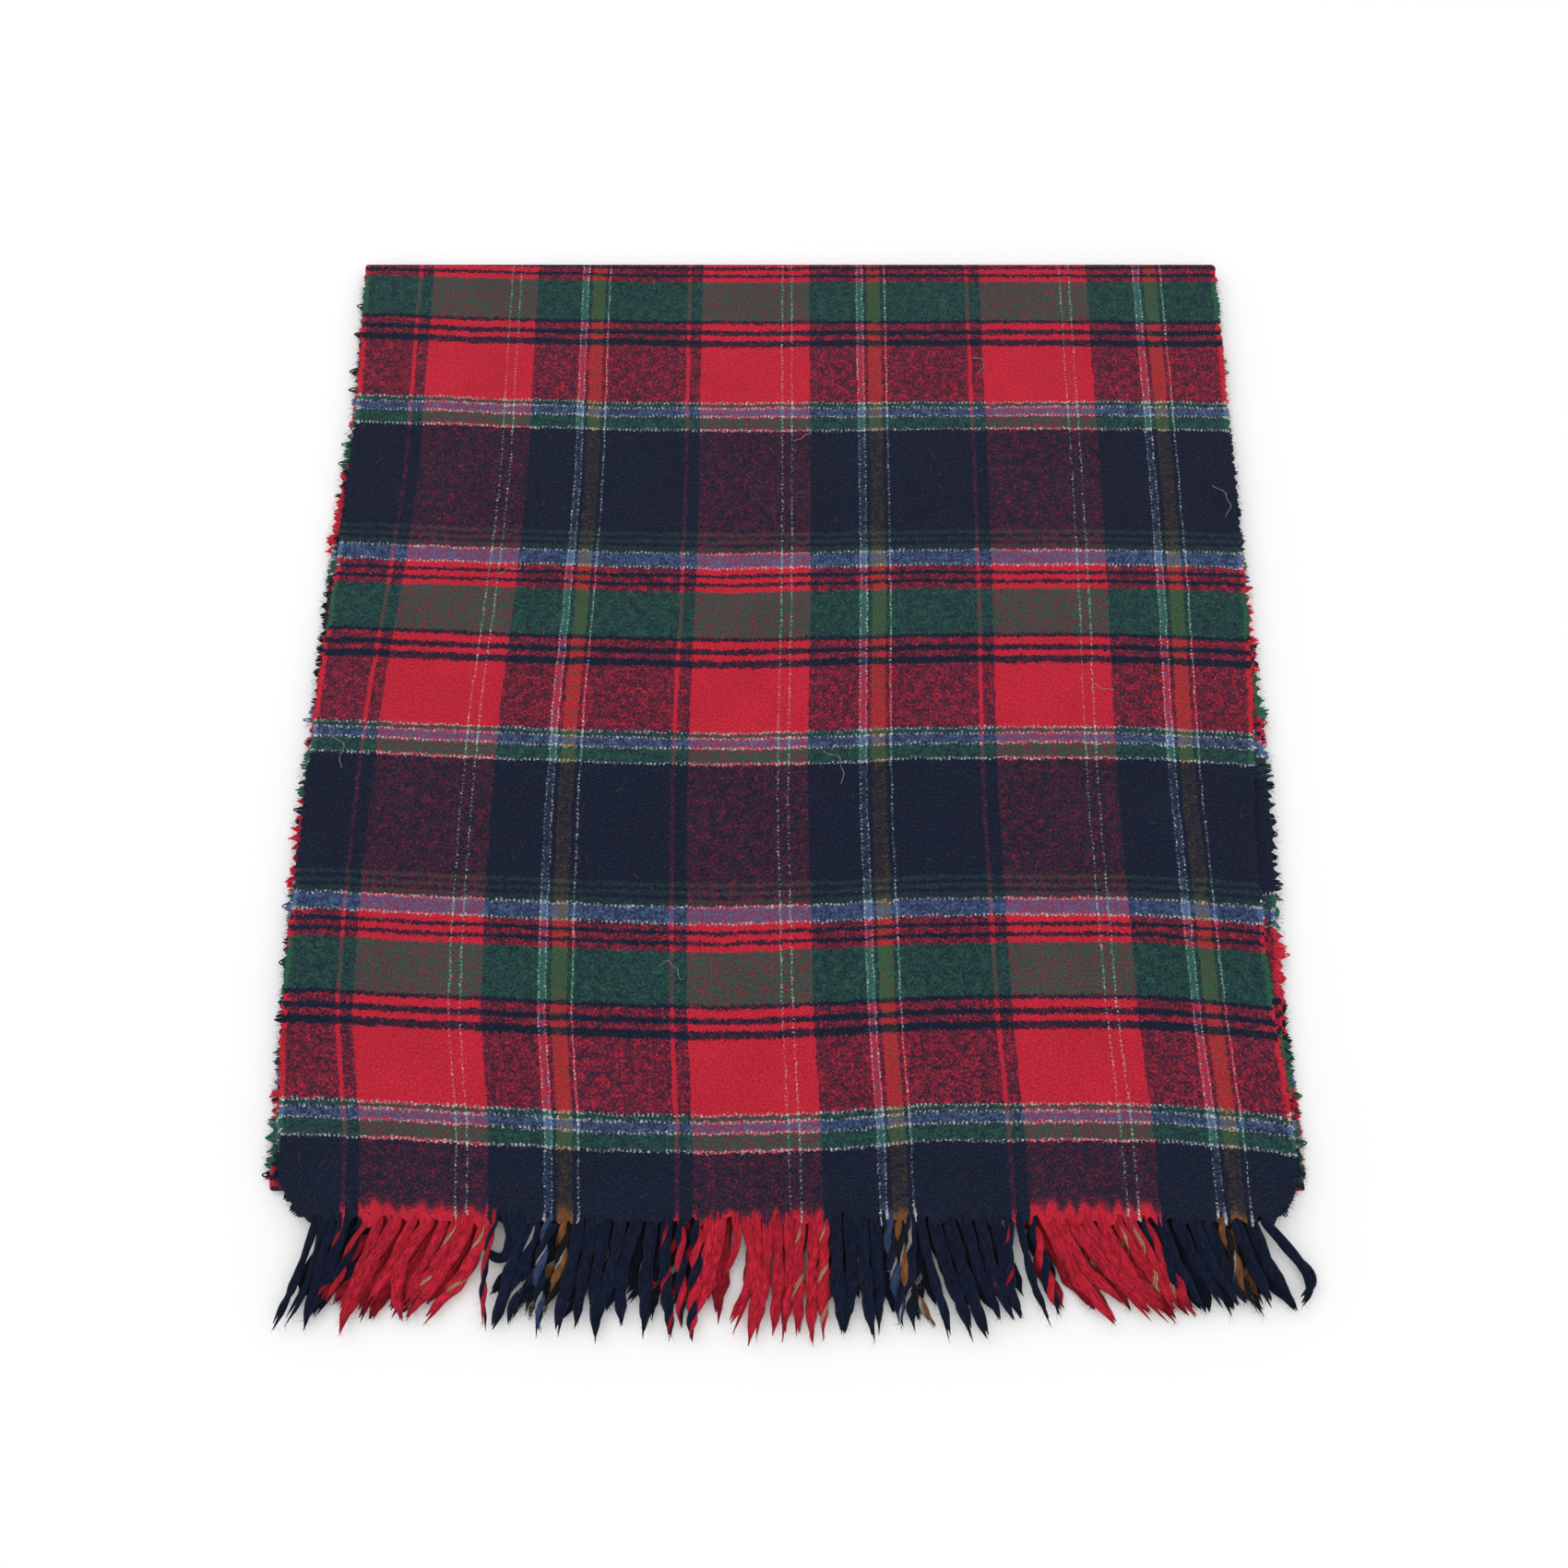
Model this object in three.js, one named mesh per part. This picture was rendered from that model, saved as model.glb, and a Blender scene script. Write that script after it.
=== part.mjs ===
// A plaid woollen throw, folded in half and then in half again, lying flat.
//
// The cloth is one long strip with a twisted fringe at each end. Followed from its first fringe, it
// runs over the top of the stack, round the outer fold, back underneath, round the bottom fold,
// forward again, round the inner fold and back to its second fringe, which lies under the first.
// So the stack is four layers high: the folds lie at +Y (outer and inner) and near -Y (bottom).
//
// Units are millimetres and +Z is up. The origin is at the bottom centre of the folded throw.
// The upper two layers swing about the outer fold, on an axis along X at y = hingeY, z = hingeZ.

import * as THREE from 'three';

// Driving dimensions.
const clothWidth = 620; // selvedge to selvedge
const clothThickness = 2.6; // brushed woollen cloth, lightly pressed
const layerGap = 0.6; // air between two layers
const restingGap = 0.3; // between solids that meet end to end
const foldedLength = 681; // outer fold to the root of the fringe
const fringeLength = 73; // root to tip
const bottomFoldInset = 19; // the bottom fold stops this far short of the fringe root
const innerFoldInset = 2; // the inner fold's centre lies this far inside the outer fold's centre
const cornerRadius = 24; // the fringe ends have soft corners
const hingeHeadroom = 1.4; // the hinge axis lies this far above the middle of the stack

// Dimensions of one fringe strand.
const headerDepth = 5; // felted band where the warp yarns leave the cloth
const strandRootWidth = 7.4;
const strandMiddleWidth = 6.4;
const strandTipWidth = 1.8;
const strandMiddleAt = 0.55; // share of the strand's length
const strandLengthSpread = 3; // the shortest strands are this much shorter than the longest
const fringeFan = 1.055; // tips spread wider than roots by this factor
const fringeDroop = 6.3; // tips lie this much lower than roots

// Derived heights and places.
const layerPitch = clothThickness + layerGap;
const layerCount = 4;
const stackHeight = layerCount * clothThickness + (layerCount - 1) * layerGap;
const foldMiddleZ = stackHeight / 2;
const outerRadius = stackHeight / 2;
const totalLength = foldedLength + fringeLength;
const outerFoldY = totalLength / 2 - outerRadius; // centre of the outer fold's half circle
const innerFoldY = outerFoldY - innerFoldInset;
const fringeRootY = totalLength / 2 - foldedLength;
const smallRadius = clothThickness + layerGap / 2; // outer radius of the inner and bottom folds
const bottomFoldY = fringeRootY + bottomFoldInset + smallRadius;
const hingeY = outerFoldY;
const hingeZ = foldMiddleZ + hingeHeadroom;

// How far each selvedge stands outside (+) or inside (-) half the cloth's width, in millimetres, at
// even stations from the fold at +Y to the fringe or fold at -Y.
const selvedges = {
  panel_1: { left: [-3, -6, -4, 1, 3, 4, -5], right: [6, 5, 5, 3, -5, -4, 3] },
  panel_2: { left: [-5, -7, -4, -2, -1, 0, -4], right: [3, 3, 4, 7, 7, 2, 1] },
  panel_3: { left: [-3, -4, 3, 3, 7, 4, 3], right: [3, 2, 2, 1, 0, 3, 6] },
  panel_4: { left: [-3, -5, 0, 1, 3, 3, 2], right: [4, 3, 2, 1, 0, 4, 7] },
};

// Warp colours across the cloth, as [colour name, strands of fringe that they feed].
const warpRepeat = [['red', 8], ['navy', 4], ['accent', 2], ['navy', 7]];
const warpStart = [['navy', 5]];
const warpEnd = [['red', 8], ['navy', 4], ['accent', 2], ['navy', 4]];
const warpOrder = [...warpStart, ...warpRepeat, ...warpRepeat, ...warpEnd];
const strandTotal = warpOrder.reduce((sum, [, count]) => sum + count, 0);

const colours = { red: 0xb02236, navy: 0x1c2038, accent: 0x6f6a78, plaid: 0x4d2a3c };

function wool(colour) {
  return new THREE.MeshStandardMaterial({ color: colour, roughness: 0.95, metalness: 0 });
}

function namedMesh(name, geometry, colour) {
  const mesh = new THREE.Mesh(geometry, wool(colour));
  mesh.name = name;
  return mesh;
}

// One selvedge as points from its fold end to its other end. side is -1 on the left, 1 on the right.
function selvedgePoints(bulges, side, foldEndY, openEndY) {
  return bulges.map((bulge, station) => {
    const share = station / (bulges.length - 1);
    const x = side * (clothWidth / 2 + bulge);
    return new THREE.Vector2(x, foldEndY + share * (openEndY - foldEndY));
  });
}

// A flat layer of cloth. The -Y corners are rounded where that end carries a fringe.
function panelGeometry(edges, foldEndY, openEndY, corner) {
  const left = selvedgePoints(edges.left, -1, foldEndY, openEndY + corner);
  const right = selvedgePoints(edges.right, 1, foldEndY, openEndY + corner);
  const leftEnd = left[left.length - 1];
  const rightEnd = right[right.length - 1];
  const outline = new THREE.Shape();
  outline.moveTo(left[0].x, left[0].y);
  outline.splineThru(left.slice(1));
  if (corner > 0) {
    outline.quadraticCurveTo(leftEnd.x, openEndY, leftEnd.x + corner, openEndY);
    outline.lineTo(rightEnd.x - corner, openEndY);
    outline.quadraticCurveTo(rightEnd.x, openEndY, rightEnd.x, rightEnd.y);
  } else {
    outline.lineTo(rightEnd.x, rightEnd.y);
  }
  outline.splineThru(right.slice(0, -1).reverse());
  return new THREE.ExtrudeGeometry(outline, {
    depth: clothThickness,
    curveSegments: 3,
    bevelEnabled: false,
  });
}

function panel(number, foldEndY, openEndY, corner) {
  const name = `panel_${number}`;
  const mesh = namedMesh(name, panelGeometry(selvedges[name], foldEndY, openEndY, corner), colours.plaid);
  mesh.position.z = (layerCount - number) * layerPitch;
  return mesh;
}

// The order of the layers from the top of the stack: 1, 2, 3, 4, with panel 4 on the ground.
function panels() {
  const foldEnd = outerFoldY - restingGap;
  const innerFoldEnd = innerFoldY - restingGap;
  const bottomFoldEnd = bottomFoldY + restingGap;
  return [
    panel(1, foldEnd, fringeRootY, cornerRadius),
    panel(2, innerFoldEnd, fringeRootY, cornerRadius),
    panel(3, innerFoldEnd, bottomFoldEnd, 0),
    panel(4, foldEnd, bottomFoldEnd, 0),
  ];
}

// Half a ring of cloth along X, bulging towards +Y or, where facing is -1, towards -Y.
function foldMesh(name, radius, centreY, centreZ, facing) {
  const section = new THREE.Shape();
  section.absarc(0, 0, radius, -Math.PI / 2, Math.PI / 2, false);
  section.absarc(0, 0, radius - clothThickness, Math.PI / 2, -Math.PI / 2, true);
  const geometry = new THREE.ExtrudeGeometry(section, {
    depth: clothWidth,
    curveSegments: 10,
    bevelEnabled: false,
  });
  geometry.translate(0, 0, -clothWidth / 2);
  const mesh = namedMesh(name, geometry, colours.plaid);
  // The section's own x and y become the throw's y and z, and its depth runs along X.
  const along = new THREE.Vector3(0, facing, 0);
  const up = new THREE.Vector3(0, 0, 1);
  const across = new THREE.Vector3().crossVectors(along, up);
  mesh.quaternion.setFromRotationMatrix(new THREE.Matrix4().makeBasis(along, up, across));
  mesh.position.set(0, centreY, centreZ);
  return mesh;
}

function folds() {
  const lowerMiddleZ = smallRadius;
  return [
    foldMesh('outer_fold', outerRadius, outerFoldY, foldMiddleZ, 1),
    foldMesh('inner_fold', smallRadius, innerFoldY, foldMiddleZ, 1),
    foldMesh('bottom_fold', smallRadius, bottomFoldY, lowerMiddleZ, -1),
  ];
}

const fringeWidth = clothWidth - 2 * cornerRadius; // the straight part of the fringed end
const strandPitch = fringeWidth / strandTotal;

// Corners of one strand, right side down to the tip and back up the left side, below the header.
function strandOutline(strand, length) {
  const rootX = (strand + 0.5) * strandPitch - fringeWidth / 2;
  const leanAt = (share) => rootX * (1 + (fringeFan - 1) * share);
  const reach = length - headerDepth;
  const middleY = -headerDepth - reach * strandMiddleAt;
  const tipY = -length + strandLengthSpread * (1 - Math.sin(strand * 2.4)) * 0.5;
  return [
    [rootX + strandRootWidth / 2, -headerDepth],
    [leanAt(strandMiddleAt) + strandMiddleWidth / 2, middleY],
    [leanAt(1) + strandTipWidth / 2, tipY],
    [leanAt(1) - strandTipWidth / 2, tipY],
    [leanAt(strandMiddleAt) - strandMiddleWidth / 2, middleY],
    [rootX - strandRootWidth / 2, -headerDepth],
  ];
}

// Strands of one warp colour, held together by their part of the felted header.
function fringeGroup(name, firstStrand, count, colour, length, rootZ) {
  const leftX = firstStrand * strandPitch - fringeWidth / 2 + restingGap / 2;
  const rightX = (firstStrand + count) * strandPitch - fringeWidth / 2 - restingGap / 2;
  const outline = new THREE.Shape();
  outline.moveTo(leftX, 0);
  outline.lineTo(leftX, -headerDepth);
  for (let strand = firstStrand; strand < firstStrand + count; strand += 1) {
    for (const [x, y] of strandOutline(strand, length).reverse()) {
      outline.lineTo(x, y);
    }
  }
  outline.lineTo(rightX, -headerDepth);
  outline.lineTo(rightX, 0);
  const geometry = new THREE.ExtrudeGeometry(outline, { depth: clothThickness, bevelEnabled: false });
  geometry.translate(0, 0, -clothThickness / 2);
  const mesh = namedMesh(name, geometry, colour);
  mesh.rotation.x = Math.asin(fringeDroop / fringeLength);
  mesh.position.set(0, fringeRootY - 2 * restingGap, rootZ);
  return mesh;
}

// The whole fringe of one end of the cloth, as one group of strands for each run of warp colour.
function fringe(end, rootZ, length) {
  const madeOfColour = {};
  const meshes = [];
  let strand = 0;
  for (const [colourName, count] of warpOrder) {
    madeOfColour[colourName] = (madeOfColour[colourName] ?? 0) + 1;
    const name = `${end}_fringe_${colourName}_${madeOfColour[colourName]}`;
    meshes.push(fringeGroup(name, strand, count, colours[colourName], length, rootZ));
    strand += count;
  }
  return meshes;
}

const topLayerMiddleZ = stackHeight - clothThickness / 2;
const upperLength = fringeLength - 2 * restingGap;
const lowerLength = upperLength - 2;

const upperHalf = new THREE.Group();
const lowerHalf = new THREE.Group();
const [panel1, panel2, panel3, panel4] = panels();
upperHalf.add(panel1, panel2);
upperHalf.add(...fringe('upper', topLayerMiddleZ, upperLength));
upperHalf.add(...fringe('lower', topLayerMiddleZ - layerPitch, lowerLength));
lowerHalf.add(panel3, panel4, ...folds());

const throwBlanket = new THREE.Group();
throwBlanket.add(lowerHalf, upperHalf);
throwBlanket.userData = { hingeAxis: [-1, 0, 0], hingeY, hingeZ };

export default throwBlanket;
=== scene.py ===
import math

import bpy
import numpy as np
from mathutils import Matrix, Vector


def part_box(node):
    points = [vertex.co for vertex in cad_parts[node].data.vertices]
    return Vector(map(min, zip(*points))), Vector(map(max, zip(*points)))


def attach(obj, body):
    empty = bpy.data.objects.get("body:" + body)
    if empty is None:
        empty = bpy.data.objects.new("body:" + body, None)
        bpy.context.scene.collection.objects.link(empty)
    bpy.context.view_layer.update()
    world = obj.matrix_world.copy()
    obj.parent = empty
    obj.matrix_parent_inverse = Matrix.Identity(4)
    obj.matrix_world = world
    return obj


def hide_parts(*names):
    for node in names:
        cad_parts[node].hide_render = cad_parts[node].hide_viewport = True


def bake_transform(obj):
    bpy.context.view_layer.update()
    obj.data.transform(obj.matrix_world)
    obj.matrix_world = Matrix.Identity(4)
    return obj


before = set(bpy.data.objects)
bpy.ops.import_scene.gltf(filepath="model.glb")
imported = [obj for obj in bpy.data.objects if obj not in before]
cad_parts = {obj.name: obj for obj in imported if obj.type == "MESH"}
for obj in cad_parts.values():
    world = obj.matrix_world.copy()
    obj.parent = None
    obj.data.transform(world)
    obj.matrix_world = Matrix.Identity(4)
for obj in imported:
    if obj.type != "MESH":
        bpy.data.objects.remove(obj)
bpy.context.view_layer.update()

# A plaid woollen throw, folded in half twice, with a twisted fringe at each end of the cloth.
# The work below is in millimetres, in the frame's axes, and meshes are scaled to metres when made.
MM = 0.001

# ---- camera
LENS_MM = 36.0
SENSOR_MM = 36.0
TILT = math.radians(18.2)  # from straight down, leaning back towards the fringe
DISTANCE_M = 1.027
AIM_M = (0.0, -0.027, 0.011)

camera = bpy.data.objects.new("camera", bpy.data.cameras.new("camera"))
camera.data.lens = LENS_MM
camera.data.sensor_width = SENSOR_MM
camera.location = (
    AIM_M[0],
    AIM_M[1] - DISTANCE_M * math.sin(TILT),
    AIM_M[2] + DISTANCE_M * math.cos(TILT),
)
camera.rotation_euler = (TILT, 0.0, 0.0)
bpy.context.scene.collection.objects.link(camera)
bpy.context.scene.camera = camera
bpy.context.scene.view_settings.view_transform = "Standard"


# ---- places, from the frame
def corners(node):
    """Lowest and highest corner of a CAD node, in millimetres."""
    low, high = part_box(node)
    return np.array(low) / MM, np.array(high) / MM


PANELS = {k: corners(f"panel_{k}") for k in (1, 2, 3, 4)}
MIDDLE_Z = {k: (low[2] + high[2]) / 2 for k, (low, high) in PANELS.items()}
THICK = PANELS[1][1][2] - PANELS[1][0][2]
STACK = PANELS[1][1][2]
ROOT_Y = PANELS[1][0][1]  # where the fringes leave the cloth
CLOTH_WIDTH = 620.0
# The centres and middle radii of the three folds.
OUTER_Y = corners("outer_fold")[0][1]
INNER_Y = corners("inner_fold")[0][1]
BOTTOM_Y = corners("bottom_fold")[1][1]
OUTER_R = (MIDDLE_Z[1] - MIDDLE_Z[4]) / 2
SMALL_R = (MIDDLE_Z[3] - MIDDLE_Z[4]) / 2

# ---- the cloth as a path
# Distance along the folded cloth, from the upper fringe to the lower one, at the end of each run.
RUN_1 = OUTER_Y - ROOT_Y
TURN_OUTER = RUN_1 + math.pi * OUTER_R
RUN_4 = TURN_OUTER + OUTER_Y - BOTTOM_Y
TURN_BOTTOM = RUN_4 + math.pi * SMALL_R
RUN_3 = TURN_BOTTOM + INNER_Y - BOTTOM_Y
TURN_INNER = RUN_3 + math.pi * SMALL_R
RUN_2 = TURN_INNER + INNER_Y - ROOT_Y
APEXES = [0, (RUN_1 + TURN_OUTER) / 2, (RUN_4 + TURN_BOTTOM) / 2, (RUN_3 + TURN_INNER) / 2, RUN_2]
# The stripes' own place along the cloth at the ends and at the three apexes.
WOVEN = [0.0, 684.0, 1364.0, 2039.0, 2728.0]
SEAM = 12.0  # how far the fold strips reach into the flat layers


def woven(distance):
    """The stripes' place along the cloth at a distance along the folded path."""
    return np.interp(distance, APEXES, WOVEN)


def run_of(layer, y):
    """Distance along the path at a y in a flat layer."""
    if layer == 1:
        return y - ROOT_Y
    if layer == 4:
        return TURN_OUTER + OUTER_Y - y
    if layer == 3:
        return TURN_BOTTOM + y - BOTTOM_Y
    return TURN_INNER + INNER_Y - y


# ---- how the cloth lies
def smoothstep(a, b, x):
    """0 at a and 1 at b, with soft ends. b may lie below a."""
    t = np.clip((x - a) / (b - a), 0.0, 1.0)
    return t * t * (3 - 2 * t)


def ripple(t, seed, shortest, longest, count=7):
    """A smooth wandering line between about -1 and 1."""
    rng = np.random.default_rng(seed)
    lengths = np.exp(rng.uniform(math.log(shortest), math.log(longest), count))
    phases = rng.uniform(0, 2 * math.pi, count)
    total = 0.0
    for length, phase in zip(lengths, phases):
        total = total + np.sin(2 * math.pi * np.asarray(t) / length + phase)
    return total / math.sqrt(count * 2.0)


# How far the warp stripes lean off their true place, down the cloth, at its left side and elsewhere.
LEAN_Y = [-300, -250, -180, -110, -40, 30, 100, 200, 300, 377]
LEAN_LEFT = [2, 0, -7, -7, -4.5, -3, 1, 7, 6.5, 6]
LEAN_ALL = [6, 4.8, 1, -0.6, -2, -1.4, 0.4, 1, 0.8, 1]
# How far the weft stripes ride up or down across the cloth; the right part grows towards the fringe.
SAG_X = [-320, -290, -220, -110, -40, 35, 90, 190, 235, 290, 320]
SAG_LEFT = [7, 6, 3.4, 0.4, -1, 0, 0, 0, 0, 0, 0.6]
SAG_LOW = [0, 1, 0, -3, -3.2, -1.6, 2.8, 3.6, 2.6, -2.6, -8]


# Soft creases: centre x and y, direction, half length, half width, height.
CREASES = [
    (270, -95, -0.9, 36, 6, 2.0),
    (287, -124, -1.0, 30, 6, -1.2),
    (250, -60, -0.5, 40, 9, 0.8),
    (292, 130, -0.7, 26, 5, 1.8),
    (-250, 40, 1.2, 70, 10, 0.6),
    (-120, -210, 0.2, 80, 12, 0.6),
    (90, -230, 0.1, 90, 14, 0.7),
]
MOST_SWELL = 3.2
LEVEL_FROM, LEVEL_TO = 322.0, 350.0  # the swell dies out between these, so that the folds are level


def warp_shift(x, y):
    """How far the warp stripes lean to the right at a point."""
    left = smoothstep(-20, -270, x)
    return np.interp(y, LEAN_Y, LEAN_LEFT) * left + np.interp(y, LEAN_Y, LEAN_ALL)


def weft_shift(x, y):
    """How far the weft stripes ride up at a point."""
    low = np.clip((325.0 - y) / 555.0, 0, 1)
    fine = 0.5 * ripple(x, 5, 60, 200) * ripple(y, 6, 90, 300)
    return np.interp(x, SAG_X, SAG_LEFT) + np.interp(x, SAG_X, SAG_LOW) * low + fine


def relief(x, y):
    """How much the whole stack swells above flat, in millimetres."""
    swell = 0.9 + 0.45 * ripple(x + 0.6 * y, 11, 70, 260) + 0.45 * ripple(y - 0.35 * x, 12, 60, 240)
    fine = 0.16 * ripple(x, 13, 18, 60) * ripple(y, 14, 18, 60)
    crease = 0.0
    for centre_x, centre_y, turn, long, wide, height in CREASES:
        right, ahead = x - centre_x, y - centre_y
        along = right * math.cos(turn) + ahead * math.sin(turn)
        over = ahead * math.cos(turn) - right * math.sin(turn)
        crease = crease + height * np.exp(-((along / long) ** 2) - ((over / wide) ** 2))
    return np.clip(swell + fine + crease, 0.0, MOST_SWELL) * smoothstep(LEVEL_TO, LEVEL_FROM, y)


def lift(points):
    """Raises points of the stack by the relief, keeping the ground at zero."""
    raised = points.copy()
    raised[:, 2] *= 1 + relief(points[:, 0], points[:, 1]) / STACK
    return raised


# ---- mesh building
def build(name, points, faces, uv, material, tint=None, edge=None):
    """Makes a smooth mesh piece.

    Points and uv are in millimetres. uv is the place across and along the cloth, one per point, and
    edge is each point's distance inwards from the selvedge.
    """
    points = lift(points)
    mesh = bpy.data.meshes.new(name)
    mesh.from_pydata((points * MM).tolist(), [], faces)
    corner = np.empty(len(mesh.loops), np.int32)
    mesh.loops.foreach_get("vertex_index", corner)
    layer = mesh.uv_layers.new(name="Cloth")
    layer.data.foreach_set("uv", (uv[corner] * MM).astype(np.float32).ravel())
    if tint is not None:
        colour = mesh.color_attributes.new("Tint", "FLOAT_COLOR", "POINT")
        rgba = np.concatenate([tint, np.ones((len(tint), 1))], axis=1)
        colour.data.foreach_set("color", rgba.astype(np.float32).ravel())
    if edge is not None:
        inward = mesh.attributes.new("Edge", "FLOAT", "POINT")
        inward.data.foreach_set("value", edge.astype(np.float32).ravel())
    mesh.polygons.foreach_set("use_smooth", np.ones(len(mesh.polygons), bool))
    mesh.materials.append(material)
    mesh.update()
    piece = bpy.data.objects.new(name, mesh)
    bpy.context.scene.collection.objects.link(piece)
    return piece


def sharpen_ends(piece, first, last):
    """Marks the rims of the two end caps sharp, so the cloth's shading runs on over a seam."""
    mesh = piece.data
    rims = {tuple(sorted(pair)) for ring in (first, last) for pair in zip(ring, ring[1:] + ring[:1])}
    sharp = mesh.attributes.new("sharp_edge", "BOOLEAN", "EDGE")
    ends = np.empty(len(mesh.edges) * 2, np.int32)
    mesh.edges.foreach_get("vertices", ends)
    flags = [tuple(sorted(pair)) in rims for pair in ends.reshape(-1, 2).tolist()]
    sharp.data.foreach_set("value", flags)


def tubes(paths, radii, sides, flatten=1.0):
    """Closed tubes along many paths at once: paths is (tubes, points, 3), radii is (tubes, points).

    Returns the points, the faces, the distance along each path, and the angles round a tube.
    """
    count, length, _ = paths.shape
    tangent = np.gradient(paths, axis=1)
    tangent /= np.linalg.norm(tangent, axis=2, keepdims=True) + 1e-9
    across = np.cross(tangent, np.array([0.0, 0.0, 1.0]))
    across /= np.linalg.norm(across, axis=2, keepdims=True) + 1e-9
    rise = np.cross(across, tangent)
    angle = np.linspace(0, 2 * math.pi, sides, endpoint=False)
    ring = (
        across[:, :, None, :] * np.cos(angle)[None, None, :, None]
        + rise[:, :, None, :] * np.sin(angle)[None, None, :, None] * flatten
    )
    points = (paths[:, :, None, :] + ring * radii[:, :, None, None]).reshape(-1, 3)
    start = np.arange(count)[:, None, None] * (length * sides)
    i = np.arange(length - 1)[None, :, None] * sides
    j = np.arange(sides)[None, None, :]
    a = start + i + j
    b = start + i + (j + 1) % sides
    quads = np.stack([a, a + sides, b + sides, b], axis=-1).reshape(-1, 4)
    first = (start[:, 0] + np.arange(sides)[None, :]).tolist()
    last = (start[:, 0] + (length - 1) * sides + np.arange(sides)[None, ::-1]).tolist()
    run = np.concatenate(
        [np.zeros((count, 1)), np.cumsum(np.linalg.norm(np.diff(paths, axis=1), axis=2), axis=1)], axis=1
    )
    return points, quads.tolist() + first + last, run, angle


# ---- selvedges
EDGE_STEP = 2.0
EDGE_BAND = 250.0  # the panel's points farther out than this belong to a selvedge
# The corners at a fringed end, left and right: the length that they taper over, and how far in they go.
CORNER_LONG = {-1: 36.0, 1: 30.0}
CORNER_WIDE = {-1: 21.0, 1: 18.0}
CORNER_CLEAR = 30.0  # the CAD panel's own rounded corner lies below this height


def edge_lines(layer):
    """The selvedges of one layer as y, left x and right x, smoothed from the CAD panel's outline."""
    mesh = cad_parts[f"panel_{layer}"].data
    outline = np.array([v.co for v in mesh.vertices], float) / MM
    fringed = layer in (1, 2)
    low, high = outline[:, 1].min(), outline[:, 1].max()
    y = np.arange(low, high + EDGE_STEP, EDGE_STEP)
    lines = []
    for side in (-1, 1):
        rows = {}
        for px, py, _ in outline[outline[:, 0] * side > EDGE_BAND]:
            key = round(py, 2)
            rows[key] = max(rows.get(key, 0.0), px * side)
        ys = np.array(sorted(rows))
        xs = np.array([rows[key] for key in ys])
        clear = ys > (low + CORNER_CLEAR if fringed else low - 1)
        x = np.interp(y, ys[clear], xs[clear])
        if fringed:
            share = np.clip((low + CORNER_LONG[side] - y) / CORNER_LONG[side], 0, 1)
            x = x - CORNER_WIDE[side] * share ** 1.8
        wobble = 0.7 * ripple(y, 40 + layer * 2 + side, 9, 60)
        lines.append(side * (x + wobble))
    return y, lines[0], lines[1]


EDGES = {layer: edge_lines(layer) for layer in (1, 2, 3, 4)}


def selvedge(layer, y):
    """Left and right x of a layer's selvedges at y."""
    ys, left, right = EDGES[layer]
    return np.interp(y, ys, left), np.interp(y, ys, right)


# ---- cloth pieces
RIM = 3  # points round each selvedge
RAGGED = 4.4  # how unevenly the fringed end of the cloth stops
RAGGED_DEPTH = 16.0  # rows nearer to the fringed end than this follow its ragged edge
RAGGED_STEP = 2.0


def cloth_strip(name, stations, columns, material):
    """A closed flattened tube of cloth along its stations.

    Each station is (y, z, y and z of the face's normal, left x, right x, the stripes' place).
    """
    rows = len(stations)
    y0, z0, ny, nz, left, right, place = np.array(stations, float).T
    share = np.linspace(0, 1, columns + 1)
    half = THICK / 2
    turn = np.linspace(math.pi / 2, -math.pi / 2, RIM + 2)[1:-1]
    inner = half * 0.9
    face_x = left[:, None] + inner + (right - left - 2 * inner)[:, None] * share[None, :]
    right_x = (right - inner)[:, None] + inner * np.cos(turn)[None, :]
    left_x = (left + inner)[:, None] - inner * np.cos(turn)[None, ::-1]
    x = np.concatenate([face_x, right_x, face_x[:, ::-1], left_x], axis=1)
    h = np.concatenate([
        np.full(columns + 1, half),
        half * np.sin(turn),
        np.full(columns + 1, -half),
        half * np.sin(turn)[::-1],
    ])
    around = x.shape[1]
    points = np.empty((rows, around, 3))
    points[:, :, 0] = x
    points[:, :, 1] = y0[:, None] + ny[:, None] * h[None, :]
    points[:, :, 2] = z0[:, None] + nz[:, None] * h[None, :]
    flat_y = np.broadcast_to(y0[:, None], x.shape)
    ragged = RAGGED * ripple(x, 61, 7, 17, 9) + 0.5
    points[:, :, 1] += ragged * smoothstep(ROOT_Y + RAGGED_DEPTH, ROOT_Y, flat_y)
    u = x - warp_shift(x, flat_y)
    v = place[:, None] - weft_shift(x, flat_y) * np.sign(np.gradient(place)[0])
    uv = np.stack([u, np.broadcast_to(v, x.shape)], axis=-1).reshape(-1, 2)
    i = np.arange(rows - 1)[:, None] * around
    j = np.arange(around)[None, :]
    a = i + j
    b = i + (j + 1) % around
    faces = np.stack([a, b, b + around, a + around], axis=-1).reshape(-1, 4).tolist()
    last = (rows - 1) * around
    faces += end_cap(0, columns, False) + end_cap(last, columns, True)
    edge = np.minimum(x - left[:, None], right[:, None] - x)
    piece = build(name, points.reshape(-1, 3), faces, uv, material, edge=edge)
    sharpen_ends(piece, list(range(around)), list(range(last, last + around)))
    return piece


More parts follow.
